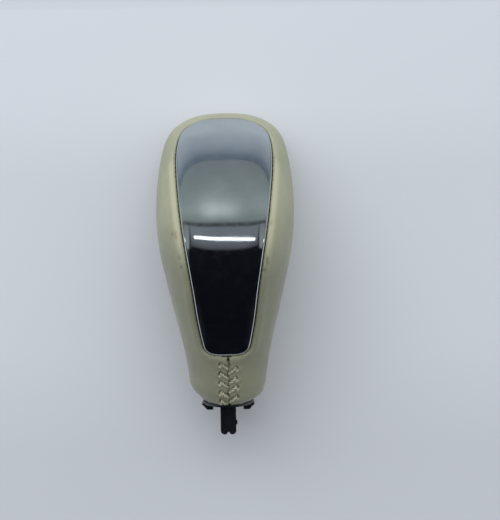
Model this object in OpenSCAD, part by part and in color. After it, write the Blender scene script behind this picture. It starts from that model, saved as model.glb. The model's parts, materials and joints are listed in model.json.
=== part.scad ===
// Gear shift knob: leather cover on a two-part core, bright trim plate on the rear,
// push button on the front that works a rod through a rocker.
// Origin at the mouth of the lever bore, Z up the lever, trim plate towards -Y, button towards +Y.

/* [Body] */
// Height of the knob above the mouth of the lever bore
body_h = 98; // [94:1:106]
// Width across the head
head_w = 46.4; // [44:0.2:52]
// Width across the neck
neck_w = 26; // [25:0.2:29]
// Thickness of the leather
leather_t = 1.2; // [0.8:0.1:1.5]
// Wall of the plastic core
core_wall = 2.2; // [1.6:0.1:2.5]

/* [Trim plate] */
// Half width of the plate at its widest
trim_half = 16.35; // [13:0.05:17]
// Gap between plate and leather
trim_gap = 0.3; // [0.1:0.05:0.6]
// Depth of the plate's face below the leather
trim_sink = 0.15; // [0:0.05:0.4]
// Width of the ledge that the plate rests on
trim_ledge = 2.4; // [1.6:0.1:3]

/* [Seam] */
// Distance between neighbouring stitches
stitch_pitch = 3.4; // [2.8:0.1:3.6]
// Distance between the two rows of holes
stitch_row_w = 5.2; // [3.6:0.1:6.4]
// Thickness of the thread
thread_d = 0.9; // [0.5:0.05:1.1]

/* [Lever socket] */
// Diameter of the bore for the lever
lever_bore_d = 9; // [7:0.1:9.2]
// Wall of the steel sleeve
sleeve_wall = 1; // [0.8:0.1:1.1]

/* [Button] */
// Width of the button cap
button_w = 14.3; // [12:0.1:15]
// Length of the button cap
button_len = 23.3; // [22.5:0.1:24]
// Gap round the button cap
button_gap = 0.4; // [0.35:0.05:0.5]
// How far the cap stands above the leather
button_proud = 1.4; // [0.8:0.1:2]
// Width of the bezel round the cap
bezel_w = 1.5; // [1:0.1:1.8]

/* [Push rod] */
// Width of the push rod
rod_w = 5.2; // [4:0.1:5.4]
// Length of the rod below the mouth of the bore
rod_below = 9.7; // [6:0.1:14]

/* [Hardware] */
// Diameter of the hinge pins
pin_d = 2.5; // [2:0.1:3]
// Shank diameter of the core screws
screw_d = 2.6; // [2:0.1:2.8]

/* [Hidden] */

rings = 24;
point_count = 36;
half_count = point_count / 2;
bottom_z = 0.6;
neck_half = neck_w / 2;
head_half = head_w / 2;
tuck_h = 7.5;
tuck_side = 3.6;
tuck_deep = 2.1;
inner_t = leather_t + core_wall;
far = body_h + head_w;
// Heights inside are those of a body 98 high, and follow its height.
function up(z) = z * body_h / 98;

// The body is drawn through level sections. Each row holds the height as a share of the body,
// then how much of the neck is in it, then the half width, rear and front in half head widths.
rows = [
  [0.000, 0.94, 0.000, 0.010, 0.000],
  [0.086, 1.00, 0.000, 0.000, 0.000],
  [0.199, 0.81, 0.184, -0.246, 0.188],
  [0.312, 0.56, 0.436, -0.561, 0.453],
  [0.425, 0.31, 0.688, -0.858, 0.740],
  [0.538, 0.10, 0.901, -1.003, 0.996],
  [0.641, 0.00, 1.000, -0.901, 1.172],
  [0.743, 0.00, 0.991, -0.586, 1.276],
  [0.836, 0.00, 0.940, -0.216, 1.353],
  [0.913, 0.00, 0.847, 0.194, 1.388],
  [0.964, 0.00, 0.668, 0.582, 1.353],
  [0.992, 0.00, 0.388, 0.853, 1.259],
  [1.000, 0.00, 0.000, 1.078, 1.078]
];
last_row = len(rows) - 1;

function size_row(i) = let (r = rows[i]) [
  bottom_z + r[0] * (body_h - bottom_z),
  r[1] * neck_half + r[2] * head_half,
  -r[1] * neck_half * 1.015 + r[3] * head_half,
  r[1] * neck_half + r[4] * head_half
];
// The row past the top mirrors the one before it, so the dome closes level.
function guide_row(i) =
  i < 0 ? 2 * size_row(0) - size_row(1) :
  i <= last_row ? size_row(i) :
  let (p = size_row(last_row), q = size_row(last_row - 1))
    [q[0], -q[1], 2 * p[2] - q[2], 2 * p[3] - q[3]];
function smooth(a, b, c, d, t) =
  0.5 * (2 * b + (c - a) * t + (2 * a - 5 * b + 4 * c - d) * t * t + (3 * b - a - 3 * c + d) * t * t * t);
function lines_at(u) =
  let (i = min(floor(u), last_row - 1))
    smooth(guide_row(i - 1), guide_row(i), guide_row(i + 1), guide_row(i + 2), u - i);
// A section: height, half width, Y of the widest point, depth to the rear, depth to the front, rear power.
function section_at(u) =
  let (
    l = lines_at(u),
    tuck = pow(max(0, 1 - (l[0] - bottom_z) / tuck_h), 2.2),
    rise = min(1, max(0, (l[0] - 0.31 * body_h) / (0.41 * body_h))),
    up = min(1, max(0, (l[0] - 0.1 * body_h) / (0.41 * body_h))),
    rear = l[2] + tuck_deep * tuck,
    front = l[3] - tuck_deep * tuck,
    mid = rear + (0.5 + 0.06 * rise) * (front - rear)
  ) [l[0], l[1] - tuck_side * tuck, mid, mid - rear, front - mid, 2.2 + 0.4 * up];
front_power = 2.3;
function spread(v, p) = sign(v) * pow(abs(v), p);
function face_at(u, turn) =
  let (
    s = section_at(u),
    back = cos(turn) >= 0,
    n = back ? s[5] : front_power
  ) [s[1] * spread(sin(turn), 2 / n), s[2] - (back ? s[3] : s[4]) * spread(cos(turn), 2 / n), s[0]];
// The same point moved in by d along the surface's normal.
function skin_at(u, turn, d) =
  let (
    s = section_at(u),
    p = face_at(u, turn),
    run = face_at(min(u + 0.02, last_row), turn) - face_at(u - 0.02, turn),
    back = cos(turn) >= 0,
    n = back ? s[5] : front_power,
    deep = back ? s[3] : s[4],
    flat_n = [spread(p[0] / s[1], n - 1) / s[1], spread((p[1] - s[2]) / deep, n - 1) / deep],
    full = [flat_n[0] * run[2], flat_n[1] * run[2], -(flat_n[0] * run[0] + flat_n[1] * run[1])]
  ) p - d * full / norm(full);
function row_at(z, lo = 0, hi = last_row, step = 0) =
  let (m = (lo + hi) / 2)
    step > 16 ? m : lines_at(m)[0] < z ? row_at(z, m, hi, step + 1) : row_at(z, lo, m, step + 1);
// Y of the rear surface at a given height and distance from the centre.
function rear_y(x, z) =
  let (s = section_at(row_at(z)))
    s[2] - s[3] * pow(1 - pow(min(0.999, abs(x) / s[1]), s[5]), 1 / s[5]);

function front_y(z) = lines_at(row_at(z))[3];

// A point of the grid over the body: ring i from the bottom, point j round from the rear centre.
// The bottom ring starts higher by d, so that an inner skin closes above the outer one.
function grid_at(i, j, d, start) =
  let (
    first = row_at(bottom_z + max(0, start)),
    p = skin_at(first + (last_row - first) * i / rings, 360 * j / point_count, d)
  ) i == 0 ? [p[0], p[1], bottom_z + d] : p;
function strip(a, b, c, e) = [[a, c, b], [c, e, b]];
// The body moved in by d. With from and n it is closed from point to point of each ring,
// which gives one side of the body and a little more.
module skin(d, from = 0, n = point_count) {
  ring = [for (i = [0 : rings - 1]) for (j = [0 : n - 1]) grid_at(i, from + j, d, d)];
  apex = [0, size_row(last_row)[2], body_h - d];
  top = rings * n;
  faces = concat(
    [
      for (i = [0 : rings - 2]) for (j = [0 : n - 1])
        let (a = i * n + j, b = i * n + (j + 1) % n)
          each strip(a, b, a + n, b + n)
    ],
    [for (j = [0 : n - 1]) [top - n + j, top, top - n + (j + 1) % n]],
    [[for (j = [0 : n - 1]) j]]
  );
  polyhedron(concat(ring, [apex]), faces);
}
module side_skin(d, s) {
  skin(d, s > 0 ? -1 : half_count - 1, half_count + 3);
}
// A patch of the body between two depths, on the rings i0 to i1 and the points j0 to j1.
module patch(d0, d1, i0, i1, j0, j1) {
  rows_n = i1 - i0;
  cols_n = j1 - j0;
  n = cols_n + 1;
  under = (rows_n + 1) * n;
  outer = [for (i = [i0 : i1]) for (j = [j0 : j1]) grid_at(i, j, d0, leather_t)];
  inner = [for (i = [i0 : i1]) for (j = [j0 : j1]) grid_at(i, j, d1, leather_t)];
  last = rows_n * n;
  faces = concat(
    [
      for (i = [0 : rows_n - 1]) for (j = [0 : cols_n - 1])
        let (a = i * n + j)
          each concat(
            strip(a, a + 1, a + n, a + n + 1),
            [[under + a, under + a + 1, under + a + n], [under + a + n, under + a + 1, under + a + n + 1]]
          )
    ],
    [
      for (i = [0 : rows_n - 1])
        let (a = i * n, b = a + cols_n)
          each concat(strip(a, a + n, under + a, under + a + n), strip(b, under + b, b + n, under + b + n))
    ],
    [
      for (j = [0 : cols_n - 1])
        let (a = j, b = last + j)
          each concat(strip(a, under + a, a + 1, under + a + 1), strip(b, b + 1, under + b, under + b + 1))
    ]
  );
  polyhedron(concat(outer, inner), faces);
}

// Outline of the trim plate: height share of the body and half width share of the plate.
trim_rows = [
  [0.186, 0.425],
  [0.220, 0.495],
  [0.307, 0.592],
  [0.405, 0.667],
  [0.507, 0.760],
  [0.610, 0.857],
  [0.713, 0.940],
  [0.815, 1.000],
  [0.877, 0.995],
  [0.921, 0.930],
  [0.947, 0.820],
  [0.966, 0.640],
  [0.978, 0.420],
  [0.982, 0.200]
];
trim_last = len(trim_rows) - 1;
trim_tilt = 38;
corner_r = 2.6;
function trim_guide(i) =
  i < 0 ? 2 * trim_rows[0] - trim_rows[1] :
  i > trim_last ? [trim_rows[trim_last][0], -trim_rows[trim_last][1]] : trim_rows[i];
function trim_row(u) =
  let (i = min(floor(u), trim_last - 1))
    smooth(trim_guide(i - 1), trim_guide(i), trim_guide(i + 1), trim_guide(i + 2), u - i);
// The outline is cut square to a plane that leans back by trim_tilt.
function trim_flat(u) =
  let (r = trim_row(u), x = r[1] * trim_half, z = r[0] * body_h)
    [x, z * cos(trim_tilt) + rear_y(x, z) * sin(trim_tilt)];
trim_side = [for (k = [0 : 3 * trim_last]) trim_flat(k / 3)];

// A cut of that outline into the rear, as deep as low on the neck and as deep as high on the head.
module trim_slab(grow, low = 8, high = 8) {
  steps = 20;
  floor_line = [
    for (k = [0 : steps])
      let (
        u = 1.2 + 10.4 * k / steps,
        share = min(1, max(0, (lines_at(u)[0] / body_h - 0.36) / 0.2)),
        p = skin_at(u, 0, low + (high - low) * share)
      ) [p[1], p[2]]
  ];
  intersection() {
    rotate([90 - trim_tilt, 0, 0])
      translate([0, 0, 15])
        linear_extrude(height = far)
          offset(delta = grow)
            offset(r = corner_r, $fn = 32)
              offset(delta = -corner_r)
                polygon(concat(trim_side, [for (k = [3 * trim_last : -1 : 0]) [-trim_side[k][0], trim_side[k][1]]]));
    rotate([90, 0, 90])
      translate([0, 0, -far / 2])
        linear_extrude(height = far)
          polygon(concat(floor_line, [[floor_line[steps][0], far], [-far, far], [-far, floor_line[0][1]]]));
  }
}

// How far the rear surface falls away from the centre line at the edge of the core's window.
function window_fall(u) =
  let (r = trim_row(u), z = r[0] * body_h)
    rear_y(r[1] * trim_half - trim_ledge, z) - rear_y(0, z);

button_z = 0.755 * body_h;
hinge_z = button_z + button_len / 2 - 1.15;
hinge_y = front_y(hinge_z) - 7.5;
button_tilt = atan((front_y(button_z + 13) - front_y(button_z - 13)) / 26);
wall_deep = 1.8 + inner_t;
// The button's outline as a solid. With short its lower end is that much shorter.
module button_slab(grow, below = 4, short = 0) {
  half = button_w / 2 + grow;
  reach = (button_len - button_w) / 2;
  translate([0, front_y(button_z), button_z])
    rotate([-90 - button_tilt, 0, 0])
      translate([0, 0, -below])
        linear_extrude(height = below + 8) {
          for (y = [-reach, reach - short])
            translate([0, y])
              circle(r = half, $fn = 48);
          translate([-half, -reach])
            square([2 * half, 2 * reach - short]);
        }
}
bezel_out = button_gap + bezel_w;
low_ring = 9;

module oval(half_x, half_y, z, h) {
  translate([0, 0, z])
    linear_extrude(height = h)
      scale([half_x, half_y])
        circle(r = 1, $fn = 64);
}
module peg(y, z, x0, x1, d) {
  translate([x0, y, z])
    rotate([0, 90, 0])
      cylinder(d = d, h = x1 - x0, $fn = 36);
}

hub_x = 7.5;
hub_y = 9.3;
hub_top = up(6.4);
seam_w = 0.7;
seam_deep = 0.55;
seam_top = trim_rows[0][0] * body_h + 1;
module seam_groove() {
  n = 14;
  lip = 0.5;
  pts = [
    for (k = [0 : n])
      let (z = bottom_z - 0.4 + (seam_top - bottom_z + 0.4) * k / n, y = rear_y(0, max(z, bottom_z)))
        each [[-seam_w / 2 * (1 + lip / seam_deep), y - lip, z], [seam_w / 2 * (1 + lip / seam_deep), y - lip, z],
          [0, y + seam_deep, z]]
  ];
  faces = concat(
    [[0, 1, 2]],
    [for (k = [0 : n - 1]) for (e = [0 : 2])
      let (a = 3 * k + e, b = 3 * k + (e + 1) % 3) each [[a, a + 3, b], [a + 3, b + 3, b]]],
    [[3 * n + 2, 3 * n + 1, 3 * n]]
  );
  polyhedron(pts, faces);
}

module leather_cover() {
  color([0.82, 0.81, 0.74])
    difference() {
      skin(0);
      skin(leather_t);
      trim_slab(trim_gap);
      button_slab(bezel_out, 6);
      oval(hub_x, hub_y, -5, 15);
      seam_groove();
    }
}

// A straight run of thread with round ends.
module thread_run(a, b) {
  v = b - a;
  translate(a) {
    sphere(d = thread_d * 1.06, $fn = 48);
    rotate([0, acos(v[2] / norm(v)), atan2(v[1], v[0])])
      cylinder(d = thread_d, h = norm(v), $fn = 48);
  }
  translate(b)
    sphere(d = thread_d * 1.06, $fn = 48);
}
stitch_drop = 2.1;
function on_seam(x, z) = [x, rear_y(x, z) - 0.1, z];
hem_z = bottom_z + 0.3;
// A stitch runs down to the seam. The lowest one ends at the hem.
module stitch(side, z) {
  share = min(1, (z - hem_z) / stitch_drop);
  inner = stitch_row_w / 2 * (1 - share) + 0.25 * share;
  thread_run(on_seam(side * stitch_row_w / 2, z), on_seam(side * inner, z - share * stitch_drop));
}
module seam_stitching() {
  high = trim_rows[0][0] * body_h - 3;
  pairs = floor((high - hem_z) / stitch_pitch);
  color([0.78, 0.77, 0.68]) {
    for (k = [0 : pairs])
      stitch(-1, high - k * stitch_pitch);
    for (k = [0 : pairs - 1])
      stitch(1, high - (k + 0.5) * stitch_pitch);
  }
}

module chrome_trim() {
  color([0.55, 0.58, 0.6])
    intersection() {
      patch(trim_sink, leather_t, 3, rings - 1, -8, 8);
      trim_slab(0);
    }
}

// The carrier's tabs stand square to its surface: distance from the centre, height and lean.
tab_x = [trim_half * 0.28, trim_half * 0.55];
tab_z = [up(26.4), up(70)];
tab_lean = [-21, 39];
tab_v = [for (i = [0, 1]) tab_z[i] * cos(tab_lean[i]) + rear_y(tab_x[i], tab_z[i]) * sin(tab_lean[i])];
tab_top = [for (i = [0, 1]) tab_z[i] * sin(tab_lean[i]) - rear_y(tab_x[i], tab_z[i]) * cos(tab_lean[i]) - inner_t];
tab_len = 4.6;
tab_w = 3.2;
tab_t = 1.6;
clip_t = 0.4;
clip_w = 2.8;
clip_h = 2.8;
clip_play = 0.02;
module at_tabs() {
  for (i = [0, 1]) for (s = [-1, 1])
    rotate([90 - tab_lean[i], 0, 0])
      translate([s * tab_x[i], tab_v[i], tab_top[i]])
        children();
}
module trim_carrier() {
  color([0.1, 0.1, 0.11]) {
    intersection() {
      patch(leather_t, inner_t, 3, rings - 1, -8, 8);
      trim_slab(-trim_ledge - 0.15);
    }
    at_tabs()
      translate([-tab_w / 2, -tab_t / 2, -tab_len])
        cube([tab_w, tab_t, tab_len + 1]);
  }
}
module trim_clips() {
  color([0.55, 0.57, 0.6])
    at_tabs()
      difference() {
        translate([-clip_w / 2, -tab_t / 2 - clip_t, -tab_len - clip_t])
          cube([clip_w, tab_t + 2 * clip_t, clip_h]);
        translate([-tab_w, -tab_t / 2 - clip_play, -tab_len])
          cube([2 * tab_w, tab_t + 2 * clip_play, tab_len]);
      }
}
// Ribs of the core with a slot for each clip, from the side walls to past the tab.
rib_t = 4.6;
rib_h = 2.4;
module clip_ribs(s) {
  for (i = [0, 1])
    rotate([90 - tab_lean[i], 0, 0])
      translate([s > 0 ? tab_x[i] - clip_w : -tab_x[i] + clip_w - far / 2, tab_v[i] - rib_t / 2, tab_top[i] - tab_len - 0.2])
        cube([far / 2, rib_t, rib_h]);
}
module clip_slots() {
  at_tabs()
    translate([-tab_w / 2 - clip_play, -tab_t / 2 - clip_t - clip_play, -tab_len - 3])
      cube([tab_w + 2 * clip_play, tab_t + 2 * (clip_t + clip_play), tab_len + 3]);
}

sleeve_r = lever_bore_d / 2 + sleeve_wall;
lever_bore_len = up(41);
sleeve_top = up(46.5);
shoulder_r = 7.2;
rod_y0 = -8.2;
rod_y1 = -5.9;
rod_gap = 0.15;
web_low = up(8);
web_high = up(30.8);
web_t = 2.4;
rocker_y = 3.7;
rocker_z = button_z - up(19);
hub_half = 4;
lock_z = up(43.8);
screw_at = [[8.7, up(21.2)], [15.5, up(46)], [12, button_z + up(8)], [-14.4, button_z - up(17.5)]];
screw_head_d = 4.6;
screw_seat = -5.6;
plate_low = button_z - button_len / 2 + 1.65;
plate_y = front_y(plate_low) - 3.4;
post_y = plate_y - 7.5;
post_z = plate_low - 3.5;

// What stands inside the core: webs, screw bosses, pin bosses and posts for the stops.
module core_inside() {
  for (z = [web_low, web_high])
    translate([-far / 2, -far / 2, z])
      cube([far, far, web_t]);
  for (p = screw_at) {
    peg(p[0], p[1], -far / 2, far / 2, 5.2);
    peg(p[0], p[1], -far / 2, screw_seat + 1.6, 7.4);
  }
  for (s = [-1, 1]) {
    peg(rocker_y, rocker_z, s > 0 ? hub_half + 0.2 : -far / 2, s > 0 ? far / 2 : -hub_half - 0.2, 6);
    peg(hinge_y, hinge_z, s > 0 ? 6.7 : -far / 2, s > 0 ? far / 2 : -6.7, 5.6);
    peg(0, lock_z, s > 0 ? 5 : -far / 2, s > 0 ? far / 2 : -5, 6.4);
    translate([s > 0 ? 2.7 : -2.7 - far / 2, post_y, post_z])
      cube([far / 2, 2.8, 5]);
    clip_ribs(s);
  }
}
module core_half(s) {
  difference() {
    intersection() {
      side_skin(leather_t, s);
      translate([s > 0 ? 0 : -far, -far / 2, -far / 8])
        cube([far, far, 1.2 * far]);
    }
    difference() {
      side_skin(inner_t, s);
      core_inside();
    }
    trim_slab(-trim_ledge, inner_t + 1.06 * window_fall(2), inner_t + 0.7 * window_fall(7));
    clip_slots();
    button_slab(bezel_out, wall_deep);
    oval(hub_x, hub_y, -5, 5 + hub_top);
    translate([0, 0, -5])
      cylinder(r = sleeve_r, h = 5 + sleeve_top, $fn = 64);
    translate([-rod_w / 2 - rod_gap, rod_y0 - rod_gap, -5])
      cube([rod_w + 2 * rod_gap, 4, 5 + up(40)]);
    peg(rocker_y, rocker_z, -13, 13, pin_d);
    peg(hinge_y, hinge_z, -10, 10, pin_d);
    peg(0, lock_z, -11, 11, 3);
    for (p = screw_at) {
      peg(p[0], p[1], -0.01, 9, screw_d);
      peg(p[0], p[1], -far / 2, 0.01, screw_d + 0.3);
      peg(p[0], p[1], -far / 2, screw_seat, screw_head_d + 0.3);
    }
  }
}
module core_left() {
  color([0.16, 0.16, 0.17])
    core_half(-1);
}
module core_right() {
  color([0.16, 0.16, 0.17])
    core_half(1);
}

module core_screws() {
  color([0.62, 0.62, 0.6])
    for (p = screw_at) {
      peg(p[0], p[1], screw_seat - 0.1, 8, screw_d);
      difference() {
        translate([screw_seat, p[0], p[1]])
          rotate([0, -90, 0])
            cylinder(d1 = screw_head_d, d2 = screw_head_d - 0.8, h = 1.7, $fn = 36);
        for (q = [0, 90])
          translate([screw_seat - 1.7, p[0], p[1]])
            rotate([q, 0, 0])
              cube([1.8, 0.7, 2.8], center = true);
      }
    }
}

lug_in = 5.1;
lug_out = 8.3;
lug_low = -2.1;
module lower_collar() {
  color([0.07, 0.07, 0.07])
    difference() {
      union() {
        oval(8.5, 10, -0.2, bottom_z + 0.2);
        oval(hub_x, hub_y, bottom_z - 0.1, hub_top - bottom_z + 0.1);
        for (s = [0, 1])
          mirror([s, 0, 0])
            translate([0, 3.3, 0])
              rotate([90, 0, 0])
                linear_extrude(height = 6.6)
                  polygon([[lug_in, 0], [lug_out + 0.5, 0], [lug_out + 0.5, -0.5], [lug_out - 0.1, -0.8],
                    [lug_out - 0.8, lug_low + 0.4], [lug_out - 1.2, lug_low], [lug_in, lug_low]]);
      }
      translate([0, 0, -0.3])
        cylinder(r = sleeve_r, h = 10, $fn = 64);
      translate([-rod_w / 2 - rod_gap, rod_y0 - rod_gap, -5])
        cube([rod_w + 2 * rod_gap, 4, 20]);
    }
}

clip_z = up(14.6);
clip_wire = 1.1;
clip_in = lever_bore_d / 2 + 0.1;
shoulder_z = web_low + web_t;
module lever_sleeve() {
  color([0.6, 0.61, 0.62])
    difference() {
      union() {
        cylinder(r = sleeve_r, h = sleeve_top, $fn = 64);
        intersection() {
          translate([0, 0, shoulder_z])
            cylinder(r = shoulder_r, h = 2, $fn = 64);
          translate([-10, rod_y1 + 0.3, 0])
            cube([20, 20, 30]);
        }
      }
      translate([0, 0, -1])
        cylinder(d = lever_bore_d, h = lever_bore_len + 1, $fn = 64);
      peg(0, lock_z, -10, 10, 3);
      for (s = [-1, 1])
        translate([s > 0 ? clip_in : -clip_in - 5, -5, clip_z])
          cube([5, 10, clip_wire]);
    }
}
module sleeve_pin() {
  color([0.5, 0.5, 0.52])
    difference() {
      peg(0, lock_z, -11, 11, 3);
      peg(0, lock_z, -12, 12, 1.6);
    }
}
module retaining_clip() {
  leg = 1.2;
  color([0.45, 0.47, 0.5])
    translate([0, 0, clip_z])
      linear_extrude(height = clip_wire) {
        difference() {
          translate([0, 3.2])
            circle(r = clip_in + leg, $fn = 48);
          translate([0, 3.2])
            circle(r = clip_in, $fn = 48);
          translate([-10, -10])
            square([20, 13.2]);
        }
        for (s = [-1, 1])
          translate([s > 0 ? clip_in : -clip_in - leg, -3.6])
            square([leg, 6.9]);
      }
}

module button_bezel() {
  color([0.08, 0.08, 0.08])
    intersection() {
      patch(-0.5, inner_t, low_ring, rings - 1, half_count - 5, half_count + 5);
      difference() {
        button_slab(bezel_out, wall_deep);
        button_slab(button_gap, 9);
      }
    }
}
cap_in = 0.8;
swing_gap = 0.8;
module button_cap() {
  color([0.6, 0.62, 0.64])
    intersection() {
      patch(-button_proud, cap_in, low_ring, rings - 1, half_count - 5, half_count + 5);
      button_slab(0, short = swing_gap);
    }
}

tip_y = 9;
tip_z = plate_low + 0.5;
tip_r = 2;
arm_gap = 0.7;
module button_arm() {
  color([0.14, 0.14, 0.15])
    difference() {
      union() {
        peg(hinge_y, hinge_z, -6.4, 3, 5.2);
        intersection() {
          patch(cap_in, 9, low_ring, rings - 1, half_count - 3, half_count + 3);
          button_slab(-arm_gap, 9, swing_gap);
          union() {
            translate([-4.2, plate_y, plate_low])
              cube([8.4, 12, 15]);
            translate([-2.4, plate_y + 0.4, plate_low + 0.3])
              cube([4.8, 12, button_len - 2.7]);
          }
        }
        peg(tip_y, tip_z, -2.2, 2.2, 2 * tip_r);
        translate([-2.2, tip_y, tip_z - tip_r / 2])
          cube([4.4, plate_y + 0.6 - tip_y, 1.5 * tip_r]);
      }
      peg(hinge_y, hinge_z, -10, 10, pin_d);
    }
}
module button_pin() {
  color([0.6, 0.61, 0.62])
    peg(hinge_y, hinge_z, -10, 10, pin_d);
}

// A round wire along a list of points.
module wire(path, d, sides) {
  n = len(path) - 1;
  pts = [
    for (k = [0 : n])
      let (
        t = path[min(k + 1, n)] - path[max(k - 1, 0)],
        w = t / norm(t),
        a = cross(w, [0.13, 0.21, 1]),
        e1 = a / norm(a),
        e2 = cross(w, e1)
      )
        for (j = [0 : sides - 1])
          path[k] + d / 2 * (cos(360 * j / sides) * e1 + sin(360 * j / sides) * e2)
  ];
  faces = concat(
    [[for (j = [sides - 1 : -1 : 0]) j]],
    [for (k = [0 : n - 1]) for (j = [0 : sides - 1])
      let (a = k * sides + j, b = k * sides + (j + 1) % sides) each [[a, b, a + sides], [b, b + sides, a + sides]]],
    [[for (j = [0 : sides - 1]) n * sides + j]]
  );
  polyhedron(pts, faces);
}
coil_r = 3.3;
coil_wire = 0.7;
coil_x0 = 3.5;
module button_spring() {
  steps = 15;
  n = 2.75 * steps;
  coil = [
    for (k = [0 : n])
      let (a = 180 - 360 * k / steps)
        [coil_x0 + 2.6 * k / n, hinge_y + coil_r * cos(a), hinge_z + coil_r * sin(a)]
  ];
  front_leg = [coil_x0, plate_y - coil_wire / 2 - 0.05, button_z + 1];
  boss = screw_at[2];
  rear_leg = [coil_x0 + 2.6, boss[0], boss[1] - 2.6 - coil_wire / 2];
  color([0.55, 0.56, 0.58])
    wire(concat([front_leg], coil, [rear_leg]), coil_wire, 6);
}

module rocker() {
  reach = rocker_y - (rod_y0 + rod_y1) / 2;
  color([0.78, 0.77, 0.73])
    difference() {
      union() {
        peg(rocker_y, rocker_z, -hub_half, hub_half, 6);
        translate([-2.2, rocker_y, rocker_z])
          cube([4.4, 3, up(13)]);
        translate([-2.2, rocker_y + 0.6, rocker_z])
          cube([4.4, 2.4, up(14)]);
        translate([0, rocker_y, rocker_z])
          rotate([-6.4, 0, 0])
            translate([-2.2, -reach, -1.8])
              cube([4.4, reach, 3.6]);
        peg(rocker_y - reach, rocker_z + 1.2, -2.2, 2.2, 3.6);
      }
      peg(rocker_y, rocker_z, -10, 10, pin_d);
    }
}
module rocker_pin() {
  color([0.6, 0.61, 0.62])
    peg(rocker_y, rocker_z, -13, 13, pin_d);
}

rod_top = rocker_z - 0.9;
shelf_z = sleeve_top;
coil_y = -12.3;
module push_rod() {
  half = rod_w / 2;
  color([0.06, 0.06, 0.06])
    difference() {
      union() {
        translate([-half, rod_y0 + 0.3, -rod_below + half / 2])
          cube([rod_w, rod_y1 - rod_y0 - 0.3, rod_top + rod_below - half / 2]);
        for (s = [-1, 1])
          translate([s * half / 2, rod_y1, -rod_below + half / 2])
            rotate([90, 0, 0])
              cylinder(r = half / 2, h = rod_y1 - rod_y0 - 0.3, $fn = 32);
        translate([-half / 2, rod_y0 + 0.3, -rod_below + 0.4])
          cube([half, rod_y1 - rod_y0 - 0.3, half / 2]);
        for (x = [-half + 0.5, 0, half - 0.5])
          translate([x - 0.4, rod_y0, -rod_below + 1.6])
            cube([0.8, 0.5, rod_below + up(28)]);
        translate([half - 0.2, rod_y0 + 0.6, -6.4])
          cube([0.6, 1.2, 1.4]);
        translate([-half, coil_y - 3.4, shelf_z])
          cube([rod_w, 8, 1.8]);
      }
      translate([-0.35, rod_y0 - 1, -rod_below - 1])
        cube([0.7, 5, 1.8]);
    }
}
module rod_spring() {
  turns = 6;
  steps = 14;
  n = turns * steps;
  low = web_high + web_t;
  d = 0.9;
  span = shelf_z - low - d;
  color([0.55, 0.56, 0.58])
    wire([
      for (k = [0 : n])
        let (t = k / n, a = 360 * k / steps, lift = min(1, max(0, (t - 0.12) / 0.76)))
          [2.9 * cos(a), coil_y + 2.9 * sin(a), low + d / 2 + span * lift]
    ], d, 6);
}
module bump_stops() {
  color([0.12, 0.12, 0.12])
    for (s = [-1, 1])
      translate([s > 0 ? 2.7 : -6.2, post_y + 2.8, post_z + 0.6])
        cube([3.5, 1.5, 3.8]);
}

leather_cover();
seam_stitching();
chrome_trim();
trim_carrier();
trim_clips();
core_left();
core_right();
core_screws();
lower_collar();
lever_sleeve();
sleeve_pin();
retaining_clip();
button_cap();
button_arm();
button_bezel();
button_pin();
button_spring();
rocker();
rocker_pin();
push_rod();
rod_spring();
bump_stops();
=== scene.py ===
import json
import math
import bmesh
import bpy
import numpy as np
from mathutils import Matrix, Vector, kdtree


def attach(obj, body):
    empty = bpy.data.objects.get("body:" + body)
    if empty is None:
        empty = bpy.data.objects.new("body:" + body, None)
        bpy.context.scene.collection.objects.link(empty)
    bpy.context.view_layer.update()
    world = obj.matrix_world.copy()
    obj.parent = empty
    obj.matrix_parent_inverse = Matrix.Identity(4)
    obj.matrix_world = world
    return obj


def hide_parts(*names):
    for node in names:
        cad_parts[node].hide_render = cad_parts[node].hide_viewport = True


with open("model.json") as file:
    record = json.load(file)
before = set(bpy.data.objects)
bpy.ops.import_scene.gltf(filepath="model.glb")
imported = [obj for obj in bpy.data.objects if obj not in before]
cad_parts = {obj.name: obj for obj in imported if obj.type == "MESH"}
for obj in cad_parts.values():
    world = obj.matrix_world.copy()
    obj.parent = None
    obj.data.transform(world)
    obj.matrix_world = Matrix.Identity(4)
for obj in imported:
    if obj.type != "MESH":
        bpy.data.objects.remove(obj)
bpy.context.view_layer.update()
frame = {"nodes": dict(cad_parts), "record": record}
nodes = frame["nodes"]
print("frame loaded")

mm = 0.001

# camera and stage
view = {
    "distance": 500 * mm,
    "elevation": 5.0,
    "target": (8.1 * mm, 0.0, 48 * mm),
    "roll": 0.95,
    "lens": 103.0,
}
table = {
    "gap": 0.4 * mm,
    "size": 1.6,
    "lean": 17.0,
    "bendTop": 76 * mm,
    "bendLength": 62 * mm,
    "bendSteps": 24,
    # painted shade: the table is darker towards the bottom (low) and darker far out (far)
    "near": (0.645, 0.675, 0.722),
    "low": (0.484, 0.506, 0.538),
    "far": (0.20, 0.238, 0.285),
    "behind": (0.63, 0.67, 0.72),
    "lowToNear": (-20 * mm, 100 * mm),
    "nearToFar": (135 * mm, 420 * mm),
    # painted reflection: the table as the plate mirrors it, darker above and brighter below
    "mirrored": (0.86, 0.90, 0.91),
    "mirroredLow": (1.6, 1.6, 1.6),
    "mirrorChange": (30 * mm, 80 * mm),
}

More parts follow.
